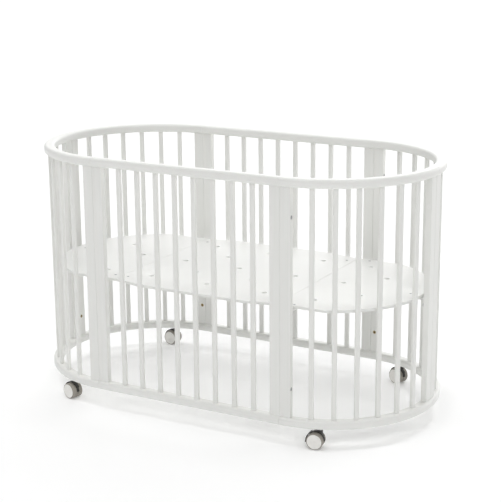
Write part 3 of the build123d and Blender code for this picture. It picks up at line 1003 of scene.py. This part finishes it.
# ================================================================ mattress base
@dataclass
class MattressBase:
    """The mattress base: three laminated panels with vents, waisted at the side posts.

    Args:
        plan: The crib's plan.
        finishes: The crib's finishes.
    """

    plan: CribPlan
    finishes: Finishes
    waist_start: float = 0.150
    waist_flat: float = 0.040
    vent_radius: float = 0.009
    vent_seam_inset: float = 0.093
    vent_edge_inset: float = 0.084
    vent_end_x: float = 0.049
    vent_far_x: float = 0.157
    screw_hole_radius: float = 0.00465
    edge_easing: float = 0.0008
    arc_steps: int = 48
    hole_steps: int = 32
    low: Vector = field(init=False)
    high: Vector = field(init=False)

    def __post_init__(self) -> None:
        """Reads the middle panel's and the right panel's boxes."""
        self.low, self.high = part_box("base_panel_middle")
        self.end_low, self.end_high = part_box("base_panel_right")

    def vent_pitch(self) -> Point:
        """How far apart the columns and the rows of vents are."""
        seam = (self.high.x + self.end_low.x) / 2
        return seam - self.vent_seam_inset, self.end_high.y - self.vent_edge_inset

    def middle_outline(self) -> list[Point]:
        """The middle panel's corners, turning left.

        Returns:
            The corners.
        """
        near, far = self.plan.half_side - self.waist_flat, self.plan.half_side - self.waist_start
        edge, waist, wide = self.high.x, self.end_high.y, self.high.y
        quarter = [(edge, waist), (near, waist), (far, wide)]
        left = [(-x, y) for x, y in reversed(quarter)]
        return quarter + left + [(-x, -y) for x, y in quarter] + [(-x, -y) for x, y in left]

    def end_outline(self, sign: int) -> list[Point]:
        """An end panel's corners and its round edge, turning left.

        Args:
            sign: +1 for the right panel, -1 for the left one.

        Returns:
            The outline's points.
        """
        waist, radius = self.end_high.y, self.end_high.x - self.plan.half_side
        half_angle = math.asin(waist / radius)
        angles = [half_angle * (2 * k / self.arc_steps - 1) for k in range(self.arc_steps + 1)]
        round_edge = [
            (self.plan.half_side + radius * math.cos(a), radius * math.sin(a)) for a in angles
        ]
        outline = [(self.end_low.x, -waist), *round_edge, (self.end_low.x, waist)]
        return [(sign * x, sign * y) for x, y in outline]

    def middle_vents(self) -> list[Point]:
        """Vents of the middle panel: three by three, and four between them.

        Returns:
            Their centres.
        """
        px, py = self.vent_pitch()
        grid = [(x, y) for x in (-px, 0.0, px) for y in (-py, 0.0, py)]
        return grid + [(sx * px / 2, sy * py / 2) for sx in (-1, 1) for sy in (-1, 1)]

    def end_vents(self, sign: int) -> list[Point]:
        """Vents of an end panel: a row of three and a pair beyond it.

        Args:
            sign: +1 for the right panel, -1 for the left one.

        Returns:
            Their centres.
        """
        _, py = self.vent_pitch()
        near, far = self.plan.half_side + self.vent_end_x, self.plan.half_side + self.vent_far_x
        return [(sign * near, y) for y in (-py, 0.0, py)] + [(sign * far, y) for y in (-py / 2, py / 2)]

    def screw_places(self) -> list[Point]:
        """The centres of the base screws, found as the separate bodies of their node.

        Returns:
            One centre for each screw.
        """
        work = bmesh.new()
        work.from_mesh(frame["nodes"]["base_screws"].data)
        bmesh.ops.remove_doubles(work, verts=work.verts, dist=POINT_WELD)
        heads = [v.co for v in work.verts if v.co.z > self.high.z - SEAM_WELD]
        work.free()
        places: list[list[Vector]] = []
        reach = 3 * self.screw_hole_radius
        for head in heads:
            group = next((g for g in places if (g[0].xy - head.xy).length < reach), None)
            if group is None:
                places.append([head])
            else:
                group.append(head)
        return [tuple((sum((p.xy for p in g), Vector((0.0, 0.0))) / len(g))) for g in places]

    def seed(self, name: str, outline: Sequence[Point], vents: Iterable[Point]) -> bpy.types.Mesh:
        """The seed mesh: the outline as a loop of edges, each hole as a loose point.

        Args:
            name: The mesh's name.
            outline: The panel's corners.
            vents: The centres of its vents.

        Returns:
            The mesh.
        """
        xs = [x for x, _ in outline]
        screws = [p for p in self.screw_places() if min(xs) < p[0] < max(xs)]
        holes = [(p, self.vent_radius) for p in vents] + [(p, self.screw_hole_radius) for p in screws]
        points = [(x, y, self.low.z) for x, y in [*outline, *(p for p, _ in holes)]]
        count = len(outline)
        mesh = bpy.data.meshes.new(name)
        mesh.from_pydata(points, [(k, (k + 1) % count) for k in range(count)], [])
        radii = mesh.attributes.new(HOLE_ATTRIBUTE, "FLOAT", "POINT")
        radii.data.foreach_set("value", [0.0] * count + [r for _, r in holes])
        return mesh

    def build(self) -> list[bpy.types.Object]:
        """Builds the three panels.

        Returns:
            The left, middle and right panels.
        """
        tree = perforated_panel_tree("perforated_panel", self.hole_steps)
        values = {
            "Finish": self.finishes.laminate,
            "Level": self.low.z,
            "Thickness": self.high.z - self.low.z,
        }
        shapes = {
            "left": (self.end_outline(-1), self.end_vents(-1)),
            "middle": (self.middle_outline(), self.middle_vents()),
            "right": (self.end_outline(1), self.end_vents(1)),
        }
        pieces = []
        for side, (outline, vents) in shapes.items():
            name = f"base_{side}_laminated"
            panel = grow(name, tree, values, self.seed(name, outline, vents))
            face_outward(panel.data)
            shade(panel.data)
            soften_edges(panel, self.edge_easing)
            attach(panel, "root")
            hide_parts(f"base_panel_{side}")
            LOG.info("%s: %d faces", name, len(panel.data.polygons))
            pieces.append(panel)
        return pieces


# ================================================================ cover caps
@dataclass
class CoverCaps:
    """White caps over the connector bolts at the two ends of the oval.

    Args:
        finishes: The crib's finishes.
    """

    finishes: Finishes
    radius: float = 0.0067
    sink: float = 0.001
    stand: float = 0.0004
    heights: tuple[float, float] = (0.189, 0.738)
    edge_easing: float = 0.0003
    steps: int = 40

    def build(self) -> bpy.types.Object:
        """Builds the four caps, in the mouths of the bolts' pockets.

        Returns:
            The caps, as one piece.
        """
        places = []
        for board in ("front_right_end_apex_board", "front_left_end_apex_board"):
            low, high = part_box(board)
            middle = low.y + (self.sink - self.stand) / 2
            places += [((low.x + high.x) / 2, middle, z) for z in self.heights]
        seed = bpy.data.meshes.new("cover_cap_places")
        seed.from_pydata(places, [], [])
        values = {
            "Finish": self.finishes.laminate,
            "Radius": self.radius,
            "Thickness": self.sink + self.stand,
        }
        caps = grow("apex_cover_caps", round_cap_tree("cover_caps", self.steps), values, seed)
        face_outward(caps.data)
        shade(caps.data)
        soften_edges(caps, self.edge_easing)
        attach(caps, "root")
        LOG.info("%s: %d faces", caps.name, len(caps.data.polygons))
        return caps


# ================================================================ kept frame parts
@dataclass
class FrameParts:
    """The frame's own nodes that keep their shape: boards, fittings and castor bodies.

    Args:
        finishes: The crib's finishes.
    """

    finishes: Finishes

    def finish_of(self, node: str) -> bpy.types.Material | None:
        """The finish of a node, or none if another piece stands for it."""
        endings = {
            "_board": self.finishes.upright_lacquer,
            "_housing": self.finishes.hood,
            "_brake_pedal": self.finishes.pedal,
            "_axle": self.finishes.zinc,
            "_stems": self.finishes.zinc,
            "_bolts": self.finishes.zinc,
            "_screws": self.finishes.zinc,
            "_inserts": self.finishes.brass,
            "_brackets": self.finishes.powder_coat,
            "_plates": self.finishes.powder_coat,
        }
        return next((finish for ending, finish in endings.items() if node.endswith(ending)), None)

    def dress(self) -> None:
        """Gives every shown node its finish."""
        for name, node in frame["nodes"].items():
            finish = self.finish_of(name)
            if finish is None or node.hide_render:
                continue
            node.data.materials.clear()
            node.data.materials.append(finish)
            LOG.info("%s: kept, in %s", name, finish.name)


# ================================================================ castors
@dataclass(frozen=True)
class CastorPlace:
    """Where a castor stands and which way it trails, read from its joints."""

    corner: str
    hub: Vector
    sideways: Vector

    @classmethod
    def from_frame(cls, corner: str) -> "CastorPlace":
        """Reads the left wheel's joint of a corner."""
        spin = next(j for j in frame["joints"] if j["name"] == f"{corner}_left_wheel_spin")
        return cls(corner, Vector(spin["pos_m"]), Vector(spin["axis"]).normalized())

    def matrix(self, side: int) -> Matrix:
        """From a wheel's own axes, its axle along +Z and outward, to the crib's.

        Args:
            side: +1 for the left wheel, -1 for the right one.

        Returns:
            The transform.
        """
        axle = self.sideways * side
        up = Vector((0.0, 0.0, 1.0))
        return Matrix.Translation(self.hub) @ Matrix((up.cross(axle), up, axle)).transposed().to_4x4()


@dataclass
class TwinWheel:
    """One wheel of a castor: a rubber tyre on a moulded disc with a raised rim.

    Args:
        finishes: The crib's finishes.
        radius: Over the tread.
        inner: From the castor's middle to the wheel's inner face.
        outer: From the castor's middle to its outer face.
    """

    finishes: Finishes
    radius: float
    inner: float
    outer: float
    disc_radius: float = 0.0238
    rim_width: float = 0.0012
    disc_depth: float = 0.0009
    cap_radius: float = 0.0042
    parting_depth: float = 0.0005
    crown: float = 0.003
    tread_groove: float = 0.0004
    bore_radius: float = 0.00255
    bore_skin: float = 0.0015
    steps: int = 72

    @classmethod
    def from_frame(cls, finishes: Finishes, place: CastorPlace) -> "TwinWheel":
        """Reads the wheel's sizes off the box of a castor's left wheel.

        The box follows the crib's axes, so the faces it gives are the wheel's own only where the
        castor trails exactly along X. Turned from that, they come out too far apart.

        Args:
            finishes: The crib's finishes.
            place: Where the castor stands.

        Returns:
            The wheel.
        """
        low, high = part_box(f"{place.corner}_castor_left_wheel")
        faces = sorted(abs(y - place.hub.y) for y in (low.y, high.y))
        return cls(finishes, (high.z - low.z) / 2, faces[0], faces[1])

    def disc_profile(self) -> list[Point]:
        """The outer face from its middle to the disc's edge, as radius and distance along the axle.

        Returns:
            The profile's points.
        """
        face, dish = self.outer, self.outer - self.disc_depth
        rim = self.disc_radius - self.rim_width
        return [
            (0.0, dish + 0.0006),
            (self.cap_radius - 0.0010, dish + 0.0005),
            (self.cap_radius, dish + 0.0001),
            (self.cap_radius + 0.0004, dish),
            (rim - 0.0014, dish),
            (rim - 0.0004, dish + 0.0003),
            (rim, face - 0.0001),
            (rim + 0.0004, face),
            (self.disc_radius, face),
        ]

    def shoulder(self, from_angle: float, along: float) -> list[Point]:
        """A rounded shoulder of the tread.

        Args:
            from_angle: 0 on the outer side, pi/2 on the inner side.
            along: The distance along the axle of the rounding's centre.

        Returns:
            The shoulder's points.
        """
        turns = [from_angle + math.pi / 2 * k / 6 for k in range(7)]
        centre = self.radius - self.crown
        return [(centre + self.crown * math.sin(t), along + self.crown * math.cos(t)) for t in turns]

    def tyre_profile(self) -> list[Point]:
        """The tyre from the disc's edge over the tread to the bore's end.

        Returns:
            The profile's points.
        """
        parting = self.disc_radius + 0.0005
        middle = (self.inner + self.outer) / 2
        grooved = []
        for side in (1, -1):
            centre = middle + side * self.crown * 0.5
            grooved += [
                (self.radius, centre + 0.0005),
                (self.radius - self.tread_groove, centre + 0.0003),
                (self.radius - self.tread_groove, centre - 0.0003),
                (self.radius, centre - 0.0005),
            ]
        bore_end = self.outer - self.bore_skin
        return [
            (self.disc_radius + 0.0001, self.outer - self.parting_depth),
            (parting, self.outer - self.parting_depth),
            (parting + 0.0004, self.outer),
            *self.shoulder(0.0, self.outer - self.crown),
            *grooved,
            *self.shoulder(math.pi / 2, self.inner + self.crown),
            (self.disc_radius, self.inner),
            (self.disc_radius - 0.0006, self.inner + self.parting_depth),
            (self.cap_radius + 0.004, self.inner + self.parting_depth),
            (self.cap_radius + 0.0034, self.inner),
            (self.bore_radius, self.inner),
            (self.bore_radius, bore_end),
            (0.0, bore_end),
        ]

    def turned(self, name: str) -> bpy.types.Mesh:
        """Turns the profile about the axle, +Z, with the disc's and the tyre's finishes.

        Args:
            name: The mesh's name.

        Returns:
            The mesh.
        """
        disc, tyre = self.disc_profile(), self.tyre_profile()
        profile = disc + tyre
        work = bmesh.new()
        rings: list[list[bmesh.types.BMVert]] = []
        for radius, along in profile:
            turns = [2 * math.pi * k / self.steps for k in range(self.steps)] if radius > 0 else [0.0]
            rings.append([work.verts.new((radius * math.cos(t), radius * math.sin(t), along)) for t in turns])
        for number, (first, second) in enumerate(zip(rings, rings[1:])):
            for k in range(self.steps):
                corners = dict.fromkeys(
                    (
                        first[k % len(first)],
                        second[k % len(second)],
                        second[(k + 1) % len(second)],
                        first[(k + 1) % len(first)],
                    )
                )
                face = work.faces.new(list(corners))
                face.material_index = 0 if number < len(disc) - 1 else 1
        mesh = bpy.data.meshes.new(name)
        work.to_mesh(mesh)
        work.free()
        mesh.materials.append(self.finishes.wheel_disc)
        mesh.materials.append(self.finishes.tyre)
        return mesh

    def build(self, place: CastorPlace) -> list[bpy.types.Object]:
        """Builds the left and the right wheel of a castor.

        Args:
            place: Where the castor stands.

        Returns:
            The two wheels.
        """
        pieces = []
        for side, word in ((1, "left"), (-1, "right")):
            name = f"{place.corner}_{word}_wheel_turned"
            mesh = self.turned(name)
            mesh.transform(place.matrix(side))
            face_outward(mesh)
            shade(mesh, math.radians(28))
            wheel = bpy.data.objects.new(name, mesh)
            bpy.context.scene.collection.objects.link(wheel)
            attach(wheel, f"{place.corner}_{word}_wheel")
            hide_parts(f"{place.corner}_castor_{word}_wheel")
            LOG.info("%s: %d faces", name, len(mesh.polygons))
            pieces.append(wheel)
        return pieces


# ================================================================ studio
@dataclass(frozen=True)
class SoftLight:
    """A far softbox.

    Args:
        bearing: Where it hangs, turning left from +X.
        tilt: How far it hangs from overhead.
        spread: How wide it looks.
        strength: The white that it alone would give a surface facing it.
    """

    bearing: float
    tilt: float
    spread: float
    strength: float

    def hang(self, name: str) -> bpy.types.Object:
        """Adds the light to the scene.

        Args:
            name: The light's name.

        Returns:
            The light.
        """
        light = bpy.data.lights.new(name, "SUN")
        light.energy = math.pi * self.strength
        light.angle = self.spread
        toward = Vector(
            (
                math.sin(self.tilt) * math.cos(self.bearing),
                math.sin(self.tilt) * math.sin(self.bearing),
                math.cos(self.tilt),
            )
        )
        lamp = bpy.data.objects.new(name, light)
        lamp.rotation_euler = (-toward).to_track_quat("-Z", "Y").to_euler()
        bpy.context.scene.collection.objects.link(lamp)
        return lamp


SOFTBOXES = {
    "front_softbox": SoftLight(math.radians(270), math.radians(50), math.radians(30), 0.18),
    "left_softbox": SoftLight(math.radians(180), math.radians(50), math.radians(30), 0.18),
    "right_softbox": SoftLight(math.radians(315), math.radians(50), math.radians(30), 0.25),
    "top_left_softbox": SoftLight(math.radians(225), math.radians(15), math.radians(15), 0.18),
    "top_back_softbox": SoftLight(math.radians(45), math.radians(15), math.radians(15), 0.14),
}


@dataclass(frozen=True)
class Studio:
    """A plain pale lit floor before a white wall, soft light and the camera.

    Args:
        eye: Where the camera stands.
        yaw: How far its view turns from +Y towards +X.
        pitch: How far its view dips below the horizon.
        roll: How far the camera leans to its left.
        lens: Its focal length in millimetres, on a 36 mm wide sensor.
        floor_size: The floor's side.
        floor_white: How white the floor's paper is.
        floor_glow: Light that the floor gives out by itself.
        wall_strength: Light of the white wall, straight behind the crib.
        seen_white: How bright the wall looks.
    """

    eye: Vector = field(default_factory=lambda: Vector((2.146, -3.8151, 1.6585)))
    yaw: float = -0.50374
    pitch: float = 0.25761
    roll: float = -0.0071626
    lens: float = 95.4
    floor_size: float = 60.0
    floor_white: float = 0.93
    floor_glow: float = 0.13
    wall_strength: float = 2.5
    seen_white: float = 1.05

    def camera(self) -> bpy.types.Object:
        """Sets up the camera and makes it the scene's.

        Returns:
            The camera.
        """
        data = bpy.data.cameras.new("view")
        data.sensor_fit = "HORIZONTAL"
        data.sensor_width = SENSOR_WIDTH_MM
        data.lens = self.lens
        data.clip_end = FAR_CLIP
        ahead = Vector(
            (
                math.sin(self.yaw) * math.cos(self.pitch),
                math.cos(self.yaw) * math.cos(self.pitch),
                -math.sin(self.pitch),
            )
        )
        right = Vector((math.cos(self.yaw), -math.sin(self.yaw), 0.0))
        above = right.cross(ahead)
        leaning = right * math.cos(self.roll) + above * math.sin(self.roll)
        upward = above * math.cos(self.roll) - right * math.sin(self.roll)
        turn = Matrix((leaning, upward, -ahead)).transposed().to_4x4()
        camera = bpy.data.objects.new("view", data)
        camera.matrix_world = Matrix.Translation(self.eye) @ turn
        bpy.context.scene.collection.objects.link(camera)
        bpy.context.scene.camera = camera
        return camera

    def floor(self) -> bpy.types.Object:
        """Lays the pale floor.

        Returns:
            The floor.
        """
        half = self.floor_size / 2
        corners = [(-half, -half, 0.0), (half, -half, 0.0), (half, half, 0.0), (-half, half, 0.0)]
        mesh = bpy.data.meshes.new("studio_floor")
        mesh.from_pydata(corners, [], [(0, 1, 2, 3)])
        tree = FinishTree("studio_paper")
        paper = tree.finish(
            Base_Color=(*[self.floor_white] * 3, 1.0),
            Roughness=0.9,
            Specular_IOR_Level=0.1,
            Emission_Color=(1.0, 1.0, 1.0, 1.0),
            Emission_Strength=self.floor_glow,
        )
        mesh.materials.append(paper)
        floor = bpy.data.objects.new("studio_floor", mesh)
        bpy.context.scene.collection.objects.link(floor)
        return floor

    def wall(self) -> None:
        """Surrounds the studio with a white wall that glows behind the crib and is seen as white."""
        world = bpy.data.worlds.new("studio_white")
        world.use_nodes = True
        builder = NodeBuilder(world.node_tree)
        builder.tree.nodes.clear()
        heading = builder.add("ShaderNodeTexCoord").outputs["Generated"]
        parts = builder.add("ShaderNodeSeparateXYZ", {"Vector": heading})
        behind = builder.add("ShaderNodeMath", {0: parts.outputs["Y"], 1: 0.0}, operation="MAXIMUM")
        falloff = builder.add("ShaderNodeMath", {0: behind.outputs["Value"], 1: 2.0}, operation="POWER")
        seen = builder.add("ShaderNodeLightPath").outputs["Is Camera Ray"]
        glow = builder.add(
            "ShaderNodeMath", {0: falloff.outputs["Value"], 1: self.wall_strength}, operation="MULTIPLY"
        )
        strength = builder.add("ShaderNodeMix", {"Factor": seen}, data_type="FLOAT")
        strength.inputs["B"].default_value = self.seen_white
        builder.tree.links.new(glow.outputs["Value"], strength.inputs["A"])
        wall = builder.add(
            "ShaderNodeBackground", {"Color": (1.0, 1.0, 1.0, 1.0), "Strength": strength.outputs["Result"]}
        )
        builder.add("ShaderNodeOutputWorld", {"Surface": wall.outputs["Background"]})
        bpy.context.scene.world = world

    def build(self) -> None:
        """Sets up the whole studio."""
        self.camera()
        self.floor()
        self.wall()
        for name, box in SOFTBOXES.items():
            box.hang(name)
        bpy.context.scene.view_settings.view_transform = "Standard"


# ================================================================ the crib
CORNERS = {
    "front_right": (-math.pi / 2, 1),
    "back_right": (0.0, 1),
    "back_left": (math.pi / 2, -1),
    "front_left": (math.pi, -1),
}


def main() -> None:
    """Builds the crib and its studio."""
    logging.basicConfig(level=logging.INFO, format="%(name)s: %(message)s")
    Studio().build()
    plan = CribPlan.from_frame()
    finishes = Finishes.mixed()
    trees = SectionTrees.built()
    for name, outward in (("front_side", -1), ("back_side", 1)):
        StraightSide(name, plan, trees, finishes, outward=outward).build()
    for corner, (angle, sign) in CORNERS.items():
        QuarterEnd(f"{corner}_end", plan, trees, finishes, start_angle=angle, end_sign=sign).build()
    MattressBase(plan, finishes).build()
    CoverCaps(finishes).build()
    wheel = TwinWheel.from_frame(finishes, CastorPlace.from_frame("front_right"))
    for corner in CORNERS:
        wheel.build(CastorPlace.from_frame(corner))
    FrameParts(finishes).dress()


if __name__ == "__main__":
    main()
